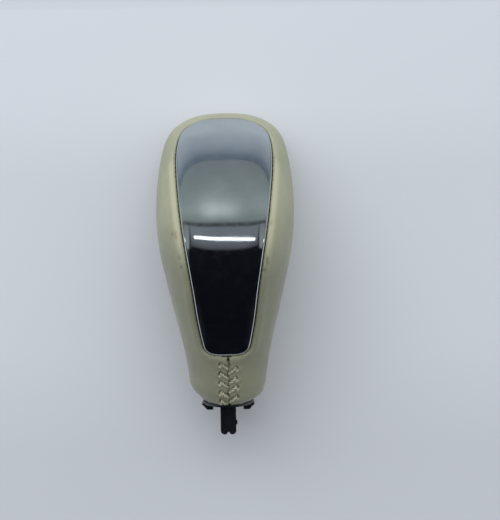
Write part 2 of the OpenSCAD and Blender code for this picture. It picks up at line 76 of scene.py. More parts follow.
# the knob's own form, the same rows as in the part's source
body = {
    "height": 98 * mm,
    "bottom": 0.6 * mm,
    "neckHalf": 13 * mm,
    "neckRear": 1.015,
    "headHalf": 23.2 * mm,
    "tuckHeight": 7.5 * mm,
    "tuckSide": 3.6 * mm,
    "tuckDeep": 2.1 * mm,
    "tuckPower": 2.2,
    "midShare": 0.5,
    "midMore": 0.06,
    "midFrom": 0.31,
    "rearPower": 2.2,
    "rearPowerMore": 0.4,
    "rearPowerFrom": 0.1,
    "changeOver": 0.41,
    "frontPower": 2.3,
    "leather": 1.2 * mm,
}
bodyRows = [
    (0.000, 0.94, 0.000, 0.010, 0.000),
    (0.086, 1.00, 0.000, 0.000, 0.000),
    (0.199, 0.81, 0.184, -0.246, 0.188),
    (0.312, 0.56, 0.436, -0.561, 0.453),
    (0.425, 0.31, 0.688, -0.858, 0.740),
    (0.538, 0.10, 0.901, -1.003, 0.996),
    (0.641, 0.00, 1.000, -0.901, 1.172),
    (0.743, 0.00, 0.991, -0.586, 1.276),
    (0.836, 0.00, 0.940, -0.216, 1.353),
    (0.913, 0.00, 0.847, 0.194, 1.388),
    (0.964, 0.00, 0.668, 0.582, 1.353),
    (0.992, 0.00, 0.388, 0.853, 1.259),
    (1.000, 0.00, 0.000, 1.078, 1.078),
]
trim = {
    "half": 16.35 * mm,
    "gap": 0.33 * mm,
    "gapClosed": 0.85,
    "gapClosesAt": (82 * mm, 9 * mm),
    "sink": 0.15 * mm,
    "bow": 0.45 * mm,
    "cornerX": 5.8 * mm,
    "cornerZ": 3.4 * mm,
    "cornerPower": 3.2,
}
trimRows = [
    (0.186, 0.425), (0.220, 0.495), (0.307, 0.592), (0.405, 0.667), (0.507, 0.760),
    (0.610, 0.857), (0.713, 0.940), (0.815, 1.000), (0.877, 0.995), (0.921, 0.930),
    (0.947, 0.820), (0.966, 0.640), (0.978, 0.420), (0.982, 0.200),
]


# 0 up to the start of a stretch, 1 past its end
def fade(value, start, over):
    return np.clip((value - start) / over, 0, 1)


def bell(value, middle, wide):
    return np.exp(-((value - middle) / wide) ** 2)


def sizedRow(r):
    b = body
    return [
        b["bottom"] + r[0] * (b["height"] - b["bottom"]),
        r[1] * b["neckHalf"] + r[2] * b["headHalf"],
        -r[1] * b["neckHalf"] * b["neckRear"] + r[3] * b["headHalf"],
        r[1] * b["neckHalf"] + r[4] * b["headHalf"],
    ]


# One smooth spline through the rows. The rows past the top are the mirror of those before it.
def splineThrough(points):
    count = len(points)
    system = np.eye(count)
    right = np.zeros_like(points)
    for i in range(1, count - 1):
        system[i, i - 1:i + 2] = (1, 4, 1)
        right[i] = 6 * (points[i - 1] - 2 * points[i] + points[i + 1])
    return np.linalg.solve(system, right)


rows = np.array([sizedRow(r) for r in bodyRows])
lastRow = len(rows) - 1
pole = rows[-1]
pastTop = rows[-2:-5:-1].copy()
pastTop[:, 1] *= -1
pastTop[:, 2] = 2 * pole[2] - pastTop[:, 2]
pastTop[:, 3] = 2 * pole[3] - pastTop[:, 3]
guideRows = np.vstack([2 * rows[0] - rows[1], rows, pastTop])
guideBend = splineThrough(guideRows)


def linesAt(u):
    u = np.asarray(u, float) + 1
    i = np.clip(np.floor(u).astype(int), 0, len(guideRows) - 2)
    t = (u - i)[..., None]
    a, b = guideRows[i], guideRows[i + 1]
    ma, mb = guideBend[i], guideBend[i + 1]
    return (1 - t) * a + t * b + ((1 - t) ** 3 - (1 - t)) * ma / 6 + (t ** 3 - t) * mb / 6


def sectionAt(u):
    line = linesAt(u)
    z = line[..., 0]
    height, over = body["height"], body["changeOver"] * body["height"]
    tuck = (1 - fade(z, body["bottom"], body["tuckHeight"])) ** body["tuckPower"]
    rise = fade(z, body["midFrom"] * height, over)
    up = fade(z, body["rearPowerFrom"] * height, over)
    rear = line[..., 2] + body["tuckDeep"] * tuck
    front = line[..., 3] - body["tuckDeep"] * tuck
    mid = rear + (body["midShare"] + body["midMore"] * rise) * (front - rear)
    half = line[..., 1] - body["tuckSide"] * tuck
    return z, half, mid, mid - rear, front - mid, body["rearPower"] + body["rearPowerMore"] * up


def spread(v, power):
    return np.sign(v) * np.abs(v) ** power


def sideAt(u, turn):
    z, half, mid, toRear, toFront, power = sectionAt(u)
    back = np.cos(turn) >= 0
    return z, half, mid, np.where(back, toRear, toFront), np.where(back, power, body["frontPower"])


# Points of the body: u runs up the rows, turn goes round from the rear centre in radians.
def bodyPoint(u, turn):
    z, half, mid, deep, n = sideAt(u, turn)
    x = half * spread(np.sin(turn), 2 / n)
    y = mid - deep * spread(np.cos(turn), 2 / n)
    return np.stack([x, y, np.broadcast_to(z, x.shape)], -1)


def bodyNormal(u, turn):
    _, half, mid, deep, n = sideAt(u, turn)
    p = bodyPoint(u, turn)
    run = bodyPoint(u + 0.01, turn) - bodyPoint(u - 0.01, turn)
    half = np.maximum(half, 1e-7)
    deep = np.maximum(deep, 1e-7)
    flatX = spread(p[..., 0] / half, n - 1) / half
    flatY = spread((p[..., 1] - mid) / deep, n - 1) / deep
    upwards = -(flatX * run[..., 0] + flatY * run[..., 1])
    full = np.stack([flatX * run[..., 2], flatY * run[..., 2], upwards], -1)
    size = np.linalg.norm(full, axis=-1, keepdims=True)
    return np.where(size > 1e-12, full / np.maximum(size, 1e-12), np.array([0, 0, 1.0]))


rowSteps = np.linspace(-0.4, lastRow, 6001)
rowHeights = linesAt(rowSteps)[:, 0]


def rowAt(z):
    return np.interp(z, rowHeights, rowSteps)


def turnAt(u, x):
    _, half, _, _, _, power = sectionAt(u)
    return np.arcsin(np.clip(np.abs(x) / half, 0, 1) ** (power / 2))


def rearPoint(x, z, out=0.0):
    u = rowAt(z)
    turn = turnAt(u, x) * np.sign(x)
    return bodyPoint(u, turn) + out * bodyNormal(u, turn)


# Outline of the trim plate: half width at a height, with the corners rounded at the lower end
trimGuide = np.array([2 * np.array(trimRows[0]) - trimRows[1]] + [list(r) for r in trimRows]
                     + [[trimRows[-1][0], -trimRows[-1][1]]])


def trimCurve(samples):
    out = []
    for u in np.linspace(0, len(trimRows) - 1, samples):
        i = min(int(u), len(trimRows) - 2)
        t = u - i
        a, b, c, d = trimGuide[i:i + 4]
        out.append(0.5 * (2 * b + (c - a) * t + (2 * a - 5 * b + 4 * c - d) * t * t
                          + (3 * b - a - 3 * c + d) * t ** 3))
    return np.array(out)


trimFine = trimCurve(2601)
trimLow = trimRows[0][0] * body["height"] - trim["bow"]
trimHigh = trimFine[-1, 0] * body["height"]


def trimWidth(z):
    w = np.interp(z, trimFine[:, 0] * body["height"], trimFine[:, 1] * trim["half"])
    down = 1 - fade(z, trimLow, trim["cornerZ"])
    power = trim["cornerPower"]
    return w - trim["cornerX"] * (1 - (1 - down ** power) ** (1 / power))


# The outline moved in by a distance, as half widths at the given heights
def insetWidth(z, inset):
    down = trimLow + trim["cornerZ"] * np.linspace(0, 1, 600) ** 3
    line = np.unique(np.concatenate([down, trimFine[:, 0] * body["height"]]))
    w = trimWidth(line)
    alongX, alongZ = np.gradient(w), np.gradient(line)
    length = np.hypot(alongX, alongZ)
    movedX = w - inset * alongZ / length
    movedZ = line + inset * alongX / length
    order = np.argsort(movedZ)
    return np.interp(z, movedZ[order], movedX[order])


def gapAt(z):
    return trim["gap"] * (1 - trim["gapClosed"] * fade(z, *trim["gapClosesAt"]))


def trimHeights(count):
    z = np.concatenate([trimLow + trim["cornerZ"] * np.linspace(0, 1, 150) ** 3,
                        trimFine[:, 0] * body["height"]])
    z = np.unique(np.clip(z, trimLow, trimHigh))
    edge = rearPoint(trimWidth(z), z)
    length = np.concatenate([[0], np.cumsum(np.linalg.norm(np.diff(edge, axis=0), axis=1))])
    return np.interp(np.linspace(0, length[-1], count), length, z)


def newObject(name, data):
    obj = bpy.data.objects.new(name, data)
    bpy.context.scene.collection.objects.link(obj)
    return obj


def makeMesh(name, points, faces, material):
    mesh = bpy.data.meshes.new(name)
    mesh.from_pydata([tuple(p) for p in points], [], faces)
    mesh.validate()
    mesh.update()
    obj = newObject(name, mesh)
    mesh.materials.append(material)
    mesh.polygons.foreach_set("use_smooth", [True] * len(mesh.polygons))
    return obj


def tidyMesh(obj, merge=1e-7):
    work = bmesh.new()
    work.from_mesh(obj.data)
    bmesh.ops.remove_doubles(work, verts=work.verts, dist=merge)
    bmesh.ops.dissolve_degenerate(work, edges=work.edges, dist=1e-8)
    bmesh.ops.recalc_face_normals(work, faces=work.faces)
    work.to_mesh(obj.data)
    work.free()
    obj.data.update()


# materials

def newMaterial(name):
    material = bpy.data.materials.new(name)
    material.use_nodes = True
    tree = material.node_tree
    return material, tree, tree.nodes["Principled BSDF"]


def addNode(tree, kind, **sets):
    made = tree.nodes.new(kind)
    for key, value in sets.items():
        if hasattr(made, key):
            setattr(made, key, value)
        else:
            made.inputs[key].default_value = value
    return made


# Link a socket's output, or set a plain number or colour
def feed(tree, value, socket):
    if hasattr(value, "is_output"):
        tree.links.new(value, socket)
    else:
        socket.default_value = value


def calc(tree, operation, a, b=0.0):
    made = addNode(tree, "ShaderNodeMath", operation=operation)
    feed(tree, a, made.inputs[0])
    feed(tree, b, made.inputs[1])
    return made.outputs["Value"]


def splitPlace(tree, kind="Object"):
    place = addNode(tree, "ShaderNodeTexCoord")
    split = addNode(tree, "ShaderNodeSeparateXYZ")
    tree.links.new(place.outputs[kind], split.inputs["Vector"])
    return [split.outputs[k] for k in "XYZ"]


def noiseOn(tree, scale, detail=3.0, rough=0.5):
    place = addNode(tree, "ShaderNodeTexCoord")
    noise = addNode(tree, "ShaderNodeTexNoise", Scale=scale, Detail=detail, Roughness=rough)
    tree.links.new(place.outputs["Object"], noise.inputs["Vector"])
    return noise.outputs["Fac"]


def rangeOf(tree, value, low, high, toLow=0.0, toHigh=1.0):
    limits = {"From Min": low, "From Max": high, "To Min": toLow, "To Max": toHigh}
    span = addNode(tree, "ShaderNodeMapRange", **limits)
    tree.links.new(value, span.inputs["Value"])
    return span.outputs["Result"]


def mixColours(tree, factor, a, b, blend="MIX"):
    mix = addNode(tree, "ShaderNodeMix", data_type="RGBA", blend_type=blend)
    for value, socket in ((factor, 0), (a, 6), (b, 7)):
        feed(tree, (*value, 1) if isinstance(value, tuple) else value, mix.inputs[socket])
    return mix.outputs[2]


def bumpFrom(tree, height, distance, strength, under=None):
    bump = addNode(tree, "ShaderNodeBump", Strength=strength, Distance=distance)
    tree.links.new(height, bump.inputs["Height"])
    if under is not None:
        tree.links.new(under, bump.inputs["Normal"])
    return bump.outputs["Normal"]


creamLeatherLook = {
    "colour": (0.357, 0.359, 0.250),
    "shade": (0.318, 0.324, 0.222),
    "pore": (0.27, 0.27, 0.19),
    # painted shade: this colour darkens the leather towards the bottom, between the two heights below; in the
    # thread's look the same key is a real soiled tone
    "soiledAndShaded": (0.645, 0.65, 0.645),
    "paintedHoleShade": (0.045, 0.04, 0.022),
    "paintedHighlight": (0.47, 0.465, 0.31),
    "lowShadeFrom": 68 * mm,
    "lowShadeTo": 44 * mm,
    "grain": 1500.0,
    "grainDepth": 0.05 * mm,
    "fineGrain": 2600.0,
    "blotches": 90.0,
    "roughness": (0.41, 0.53),
    "specular": 0.42,
}


def creamLeather():
    look = creamLeatherLook
    material, tree, shader = newMaterial("creamLeather")
    place = addNode(tree, "ShaderNodeTexCoord")
    cells = addNode(tree, "ShaderNodeTexVoronoi", feature="DISTANCE_TO_EDGE", Scale=look["grain"])
    tree.links.new(place.outputs["Object"], cells.inputs["Vector"])
    pores = rangeOf(tree, cells.outputs["Distance"], 0.0, 0.22)
    blotch = rangeOf(tree, noiseOn(tree, look["blotches"], 4.0), 0.35, 0.65)
    tone = mixColours(tree, blotch, look["shade"], look["colour"])
    poreTone = mixColours(tree, rangeOf(tree, pores, 0.0, 0.6, 0.65, 1.0), look["pore"], tone)
    # painted shade: the leather is darker towards the bottom
    soilAndShade = rangeOf(tree, splitPlace(tree)[2], look["lowShadeTo"], look["lowShadeFrom"])
    lowShade = mixColours(tree, soilAndShade, look["soiledAndShaded"], (1.0, 1.0, 1.0))
    lowShaded = mixColours(tree, 1.0, poreTone, lowShade, "MULTIPLY")
    sewn = addNode(tree, "ShaderNodeAttribute", attribute_name="seamTone").outputs["Fac"]
    # painted shade where the seamTone attribute is above zero: in the stitch holes, along the seam line and
    # in its notch; the same colour darkens the pits and the patches beside the puckers
    withHoleShade = mixColours(tree, rangeOf(tree, sewn, 0.0, 0.9), lowShaded, look["paintedHoleShade"])
    # painted highlight where the seamTone attribute is below zero: on the folds at the stitches and on the
    # swell beside the plate
    withHighlight = mixColours(tree, rangeOf(tree, sewn, -0.6, 0.0, 0.8, 0.0), withHoleShade, look["paintedHighlight"])
    tree.links.new(withHighlight, shader.inputs["Base Color"])
    grain = bumpFrom(tree, pores, look["grainDepth"], 0.5)
    relief = bumpFrom(tree, noiseOn(tree, look["fineGrain"], 2.0), look["grainDepth"] * 0.5, 0.35, grain)
    tree.links.new(relief, shader.inputs["Normal"])
    rough = rangeOf(tree, noiseOn(tree, 260.0), 0.3, 0.7, *look["roughness"])
    tree.links.new(rough, shader.inputs["Roughness"])
    shader.inputs["Specular IOR Level"].default_value = look["specular"]
    return material


brightTrimLook = {
    "clear": (0.585, 0.61, 0.625),
    "hazed": (0.515, 0.54, 0.555),
    "roughness": (0.045, 0.16),
}


def brightTrimMetal():
    look = brightTrimLook
    material, tree, shader = newMaterial("brightTrimMetal")
    haze = rangeOf(tree, noiseOn(tree, 70.0), 0.4, 0.65)
    wear = rangeOf(tree, noiseOn(tree, 340.0, 6.0, 0.62), 0.42, 0.75, *look["roughness"])
    tree.links.new(mixColours(tree, haze, look["clear"], look["hazed"]), shader.inputs["Base Color"])
    tree.links.new(wear, shader.inputs["Roughness"])
    shader.inputs["Metallic"].default_value = 1.0
    return material


def mouldedPlastic(name, colour, roughness):
    material, tree, shader = newMaterial(name)
    spots = noiseOn(tree, 1800.0, 2.0)
    cloud = noiseOn(tree, 120.0)
    lighter = tuple(min(1.0, c * 1.35 + 0.004) for c in colour)
    tone = mixColours(tree, rangeOf(tree, cloud, 0.35, 0.65), colour, lighter)
    rough = rangeOf(tree, cloud, 0.3, 0.7, roughness - 0.05, roughness + 0.08)
    tree.links.new(tone, shader.inputs["Base Color"])
    tree.links.new(rough, shader.inputs["Roughness"])
    tree.links.new(bumpFrom(tree, spots, 0.02 * mm, 0.4), shader.inputs["Normal"])
    return material


def drawnSteel(name, colour, roughness):
    material, tree, shader = newMaterial(name)
    place = addNode(tree, "ShaderNodeTexCoord")
    stretch = addNode(tree, "ShaderNodeMapping", Scale=(900.0, 900.0, 60.0))
    lines = addNode(tree, "ShaderNodeTexNoise", Scale=1.0)
    tree.links.new(place.outputs["Object"], stretch.inputs["Vector"])
    tree.links.new(stretch.outputs["Vector"], lines.inputs["Vector"])
    drawn = lines.outputs["Fac"]
    darker = tuple(c * 0.86 for c in colour)
    tone = mixColours(tree, rangeOf(tree, drawn, 0.35, 0.65), darker, colour)
    rough = rangeOf(tree, drawn, 0.3, 0.7, roughness - 0.06, roughness + 0.08)
    tree.links.new(tone, shader.inputs["Base Color"])
    tree.links.new(rough, shader.inputs["Roughness"])
    tree.links.new(bumpFrom(tree, drawn, 0.01 * mm, 0.3), shader.inputs["Normal"])
    shader.inputs["Metallic"].default_value = 1.0
    return material


threadLook = {
    "colour": (0.36, 0.355, 0.255),
    "soiledAndShaded": (0.26, 0.255, 0.18),
    "fibreDepth": 0.05 * mm,
}


def seamThread():
    material, tree, shader = newMaterial("seamThread")
    fibres = noiseOn(tree, 4200.0, 4.0, 0.7)
    soilAndShade = rangeOf(tree, noiseOn(tree, 420.0), 0.35, 0.7)
    tone = mixColours(tree, soilAndShade, threadLook["colour"], threadLook["soiledAndShaded"])
    tree.links.new(tone, shader.inputs["Base Color"])
    tree.links.new(bumpFrom(tree, fibres, threadLook["fibreDepth"], 0.7), shader.inputs["Normal"])
    shader.inputs["Roughness"].default_value = 0.75
    shader.inputs["Sheen Weight"].default_value = 0.2
    return material


def stopRubber():
    material, tree, shader = newMaterial("stopRubber")
    tone = mixColours(tree, noiseOn(tree, 300.0), (0.03, 0.03, 0.03), (0.055, 0.055, 0.055))
    tree.links.new(tone, shader.inputs["Base Color"])
    shader.inputs["Roughness"].default_value = 0.8
    return material


looks = {
    "leather_cover": creamLeather(),
    "seam_stitching": seamThread(),
    "chrome_trim": brightTrimMetal(),
    "black_plastic": mouldedPlastic("satinBlackPlastic", (0.0045, 0.0055, 0.0085), 0.36),
    "core_plastic": mouldedPlastic("corePlastic", (0.05, 0.05, 0.054), 0.55),
    "steel": drawnSteel("satinSteel", (0.55, 0.56, 0.57), 0.35),
    "spring_steel": drawnSteel("springSteel", (0.42, 0.43, 0.45), 0.3),
    "rocker_plastic": mouldedPlastic("naturalPlastic", (0.60, 0.59, 0.55), 0.5),
    "stop_rubber": stopRubber(),
}
print("materials made")

# leather cover: three bands of one grid that meets the plate's outline
cover = {
    "columns": 84,
    "seamColumns": 18,
    "neckRows": 56,
    "sideRows": 150,
    "topRows": 30,
    "gather": 1.55,
    # the swell beside the plate, flat from a height on, and a painted highlight that makes part of it paler
    "ridge": 0.33 * mm,
    "ridgeAt": 1.5 * mm,
    "ridgeWidth": 1.25 * mm,
    "ridgeEnds": (80 * mm, 10 * mm),
    "ridgeHighlight": 0.42,
    "ridgeHighlightAt": 1.2 * mm,
    "ridgeHighlightWidth": 1.3 * mm,
    "ridgeHighlightFrom": (46 * mm, 10 * mm),
    "ridgeHighlightUpTo": 86 * mm,
    "ridgeHighlightFade": 8 * mm,
    # the crown above the plate and the leather's edge that turns down at the plate
    "crown": 0.5 * mm,
    "crownFrom": (87 * mm, 8 * mm),
    "edgeRound": 0.55 * mm,
    "edgeDrop": 0.95 * mm,
    "edgeSteep": 0.25 * mm,
    "edgeFlatter": 0.9,
    "edgeFlatterFrom": (84 * mm, 8 * mm),
    # the open seam and what the thread does to the leather
    "seamWidth": 0.42 * mm,
    "seamDepth": 0.75 * mm,
    "seamOpen": 1.3,
    "seamOpenAt": 1.1 * mm,
    "bulge": 0.34 * mm,
    "settle": 0.12 * mm,
    "holeDepth": 0.95 * mm,
    "holeRadius": 0.46 * mm,
    "pucker": 0.34 * mm,
    "puckerRadius": 0.75 * mm,
    "puckerWidth": 0.35 * mm,
    "crease": 0.14 * mm,
    "creaseReach": 1.5 * mm,
    "creaseSpread": 0.28,
    # painted shade in the seam line and the holes, darker patches beside the puckers, and a painted highlight
    # on the folds
    "lineDark": 0.75,
    "holeShade": 0.95,
    "puckerDark": 0.6,
    "foldHighlight": 0.5,
    # the lower end
    "fullCorner": 0.75 * mm,
    "fullCornerAt": (2.4 * mm, 1.9 * mm),
    "hemRise": 1.05 * mm,
    "hemHalf": 8.5 * mm,
    "hemHeight": 8 * mm,
    "hemWave": 0.1 * mm,
    "hemWaveHeight": 4.5 * mm,
    "pits": [(-16.9, 58.4), (-15.7, 58.7), (-15.5, 57.4), (-14.5, 51.0), (-13.9, 48.0),
             (13.6, 50.1), (13.6, 48.8), (12.8, 46.6), (15.2, 61.5)],
    "pitRadius": 0.42 * mm,
    "pitStretch": 0.65,
    "pitDepth": 0.15 * mm,
    "pitDarker": 0.5,
}
stitch = {
    "pitch": 3.25 * mm,
    "aside": 0.4 * mm,
    "uneven": 0.14 * mm,
    "rowHalf": 2.6 * mm,
    "drop": 2.1 * mm,
    "arch": 0.34 * mm,
    "sunk": 0.12 * mm,
    "dive": 0.8 * mm,
    "diveShare": 0.16,
    "samples": 25,
    "plyRadius": 0.3 * mm,
    "plyOffset": 0.24 * mm,
    "twistPerMetre": 2600.0,
    "firstBelowPlate": 2.55 * mm,
    "left": 5,
    "right": 4,
}


def stitchHoles():
    high = trimLow - stitch["firstBelowPlate"]
    half, pitch, uneven = stitch["rowHalf"], stitch["pitch"], stitch["uneven"]
    left = [(-half + uneven * math.sin(5.1 * k + 1), high - k * pitch + uneven * math.sin(3.7 * k))
            for k in range(stitch["left"])]
    right = [(half + uneven * math.sin(4.3 * k), high - (k + 0.5) * pitch + uneven * math.sin(2.9 * k + 2))
             for k in range(stitch["right"])]
    return left + right


def edgeTurn(z):
    return float(turnAt(rowAt(z), trimWidth(z) + gapAt(z)))


def coverGrid():
    share = np.linspace(0, 1, cover["columns"] + 1) ** cover["gather"]
    inner = np.linspace(0, 1, cover["seamColumns"] + 1)[:-1]
    bands = []

    def addRow(kind, u, start):
        outer = start + share * (math.pi - start)
        bands.append((kind, float(u), outer if kind == "side" else np.concatenate([inner * start, outer])))

    bottom, neckTop = body["bottom"], trimLow - trim["gap"]
    for u in rowAt(bottom + (neckTop - bottom) * np.linspace(0, 1, cover["neckRows"] + 1)):
        addRow("neck", u, edgeTurn(trimLow))
    for z in trimHeights(cover["sideRows"] + 1):
        addRow("side", rowAt(z), edgeTurn(z))
    topStart = float(rowAt(trimHigh))
    for u in topStart + (lastRow - topStart) * np.linspace(0.006, 1, cover["topRows"] + 1)[:-1]:
        addRow("top", u, edgeTurn(trimHigh))
    us, turns, starts = [], [], []
    for _, u, turn in bands:
        starts.append(len(us))
        us.extend([u] * len(turn))
        turns.extend(turn)
    # rows above and below the plate go on to the seam, rows beside it start at its edge
    skip = len(inner)
    wide = cover["columns"] + skip
    faces = []
    for r in range(len(bands) - 1):
        kinds = bands[r][0], bands[r + 1][0]
        short = "side" in kinds
        a, b = (starts[r + k] + (skip if short and kinds[k] != "side" else 0) for k in (0, 1))
        faces += [(a + c, a + c + 1, b + c + 1, b + c) for c in range(wide - (skip if short else 0))]
    last, tip = starts[-1], len(us)
    us.append(lastRow)
    turns.append(0.0)
    faces += [(last + c, last + c + 1, tip) for c in range(wide)]
    return np.array(us), np.array(turns), faces


def plateEdgePoints():
    z = trimHeights(700)
    lines = [rearPoint(trimWidth(z) + gapAt(z), z)]
    low, gap = trimLow - trim["gap"], gapAt(trimHigh)
    for end, wider, level in ((trimLow, trim["gap"], low), (trimHigh, gap, trimHigh)):
        lines.append(rearPoint(np.linspace(0, trimWidth(end) + wider, 40), np.full(40, level)))
    return np.vstack(lines)


# The leather between two stitches bulges, each hole pulls it in and creases it outwards.
def stitchRelief(x, z):
    high, half = trimLow - stitch["firstBelowPlate"], stitch["rowHalf"]
    slope = stitch["drop"] / half
    away = np.abs(x)
    phase = (high - z + (away - half) * slope) / stitch["pitch"] - np.where(x > 0, 0.5, 0.0)
    strip = fade(half + 0.5 * mm, away, 1.0 * mm) * fade(away, 0, 0.5 * mm)
    tall = fade(phase, -0.75, 0.5) * fade(z, 0.3 * mm, 1.2 * mm)
    wave = (0.5 - 0.5 * np.cos(2 * math.pi * phase)) ** 0.8
    lift = strip * tall * (cover["bulge"] * wave - cover["settle"])
    for k, (hx, hz) in enumerate(stitchHoles()):
        out, dz = (x - hx) * math.copysign(1, hx), z - hz
        lift -= cover["holeDepth"] * np.exp(-(out ** 2 + dz ** 2) / cover["holeRadius"] ** 2)
        ring = np.hypot(out - 0.35 * mm, dz + 0.5 * mm)
        lift += cover["pucker"] * bell(ring, cover["puckerRadius"], cover["puckerWidth"]) * (out > -0.8 * mm)
        reach = cover["creaseReach"] + 0.5 * mm * math.sin(k * 2.3)
        fan = np.arctan2(dz, np.maximum(out, 1e-6))
        crease = bell(fan, 0.25 * math.sin(k * 1.7), cover["creaseSpread"]) * fade(out, 0, 0.3 * mm)
        lift -= cover["crease"] * crease * (1 - fade(out, 0, reach))
    return lift


def awayFromPlate(points):
    tree = kdtree.KDTree(len(plateEdge))
    for i, p in enumerate(plateEdge):
        tree.insert(p, i)
    tree.balance()
    return np.array([tree.find((abs(p[0]), p[1], p[2]))[2] for p in points])


def pitted(x, z):
    wide = cover["pitRadius"]
    tall = wide / cover["pitStretch"]
    return sum(bell(x, px * mm, wide) * bell(z, pz * mm, tall) for px, pz in cover["pits"])


# how far the open seam runs off its line
def seamWander(z):
    return 0.22 * mm * np.sin(z / (1.08 * mm)) + 0.1 * mm * np.sin(z / (0.46 * mm) + 1)


def coverRelief(points):
    away = awayFromPlate(points)
    x, z = points[:, 0], points[:, 2]
    lift = cover["ridge"] * bell(away, cover["ridgeAt"], cover["ridgeWidth"])
    lift *= 1 - fade(z, *cover["ridgeEnds"])
    lift -= cover["crown"] * fade(z, *cover["crownFrom"]) ** 2
    near = 1 - fade(away, 0, cover["edgeRound"])
    fall = cover["edgeDrop"] * (1 - np.sqrt(np.maximum(0, 1 - near ** 2))) + cover["edgeSteep"] * near ** 4
    lift -= fall * (1 - cover["edgeFlatter"] * fade(z, *cover["edgeFlatterFrom"]))
    onRear = points[:, 1] < 0
    below = fade(trimLow - 0.6 * mm, z, 0.8 * mm) * onRear
    seamX = x - stitch["aside"]
    opened = 0.75 + 0.25 * np.sin(z / (0.54 * mm))
    opened += cover["seamOpen"] * bell(z, trimLow - cover["seamOpenAt"], 0.8 * mm)
    lift -= below * cover["seamDepth"] * opened * bell(seamX, seamWander(z), cover["seamWidth"])
    lift += onRear * stitchRelief(seamX, z)
    lift -= onRear * cover["pitDepth"] * pitted(x, z)
    around = np.arctan2(x, -points[:, 1])
    lift += cover["fullCorner"] * fade(x, 0, 9 * mm) ** 2 * bell(z, *cover["fullCornerAt"])
    waves = np.sin(around * 17 + 0.6 * np.sin(around * 5)) + 0.6 * np.sin(around * 29 + 1.3)
    lift += cover["hemWave"] * (1 - fade(z, body["bottom"], cover["hemWaveHeight"])) * waves
    return lift


# Painted shade: darkness in the holes, along the shadow line between the leather's edges and in the open
# notch at the top of the seam. Also darker patches beside the puckers and darker pits.
# Below zero a painted highlight makes the leather paler: on the folds at the stitches and on the swell beside
# the plate.
def seamTone(points):
    x, z = points[:, 0] - stitch["aside"], points[:, 2]
    below = fade(trimLow - 0.2 * mm, z, 0.5 * mm)
    beat = 0.5 + 0.5 * np.sin(z / (0.37 * mm)) * np.sin(z / (0.83 * mm) + 0.7)
    tone = cover["lineDark"] * beat * below * bell(x, seamWander(z), 0.33 * mm)
    tone += bell(x, 0, 0.42 * mm) * bell(z, trimLow - cover["seamOpenAt"], 0.95 * mm)
    for k, (hx, hz) in enumerate(stitchHoles()):
        out, dz = (x - hx) * math.copysign(1, hx), z - hz
        wide = (0.5 + 0.12 * math.sin(k * 1.9)) * mm
        tone += cover["holeShade"] * bell(out, 0.1 * mm, wide) * bell(dz, 0.1 * mm, wide)
        tone += cover["puckerDark"] * bell(out, -1.3 * mm, 0.5 * mm) * bell(dz, -0.35 * mm, 0.35 * mm)
        tone -= cover["foldHighlight"] * bell(out, 0.2 * mm, 0.5 * mm) * bell(dz, -0.95 * mm, 0.4 * mm)
    middle = fade(z, *cover["ridgeHighlightFrom"]) * fade(cover["ridgeHighlightUpTo"], z, cover["ridgeHighlightFade"])
    tone -= cover["ridgeHighlight"] * middle * bell(awayFromPlate(points), cover["ridgeHighlightAt"], cover["ridgeHighlightWidth"])
    tone += cover["pitDarker"] * pitted(points[:, 0], z)
    return np.clip(tone, -1, 1) * (points[:, 1] < 0)


plateEdge = plateEdgePoints()


def buildCover():
    us, turns, faces = coverGrid()
    base = bodyPoint(us, turns)
    normal = bodyNormal(us, turns)
    flip = base * (-1, 1, 1)
    rightPoints = base + normal * coverRelief(base)[:, None]
    leftPoints = flip + normal * (-1, 1, 1) * coverRelief(flip)[:, None]
    onCentre = np.abs(base[:, 0]) < 1e-7
    leftPoints[onCentre] = rightPoints[onCentre]
    points = np.vstack([rightPoints, leftPoints])
    # the hem rises towards both sides
    rise = cover["hemRise"] * np.clip(np.abs(points[:, 0]) / cover["hemHalf"], 0, 1.15) ** 2
    points[:, 2] += rise * (1 - fade(points[:, 2], body["bottom"], cover["hemHeight"])) ** 1.5
    # the opening for the button: faces inside are left out, the points at its edge move onto its outline
    local = buttonPlace(points)
    radius = button["width"] / 2 + button["gap"] + button["bezel"] - button["tucked"]
    middle = np.clip(local[:, 1], -buttonReach, buttonReach)
    away = np.hypot(local[:, 0], local[:, 1] - middle)
    inside = (away < radius) & (points[:, 1] > 0)
    allFaces = faces + [tuple(len(us) + i for i in reversed(f)) for f in faces]
    kept = [f for f in allFaces if not all(inside[i] for i in f)]
    edge = sorted({i for f in kept for i in f if inside[i]})
    out = radius / np.maximum(away[edge], 1e-9)
    points[edge] = frontPoint(local[edge, 0] * out, middle[edge] + (local[edge, 1] - middle[edge]) * out, 0.0)
    obj = makeMesh("leatherCover", points, kept, looks["leather_cover"])
    tone = obj.data.attributes.new("seamTone", "FLOAT", "POINT")
    tone.data.foreach_set("value", seamTone(np.vstack([base, flip])))
    tidyMesh(obj, 2e-6)
    shell = obj.modifiers.new("thickness", "SOLIDIFY")
    shell.thickness = body["leather"]
    shell.offset = -1
    shell.use_rim = True
    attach(obj, "knob")
    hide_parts("leather_cover")


# push button on the front
button = {
    "width": 14.3 * mm,
    "length": 23.3 * mm,
    "gap": 0.4 * mm,
    "proud": 1.4 * mm,
    "edge": 0.9 * mm,
    "dome": 0.12 * mm,
    "capBelow": 0.8 * mm,
    "swingGap": 0.8 * mm,
    "bezel": 1.5 * mm,
    "bezelLip": 0.45 * mm,
    "bezelBelow": 4.2 * mm,
    "tucked": 0.15 * mm,
    "centre": 0.755,
    "tiltReach": 13 * mm,
}
buttonZ = button["centre"] * body["height"]
buttonReach = (button["length"] - button["width"]) / 2


def frontY(z):
    return linesAt(rowAt(z))[..., 3]


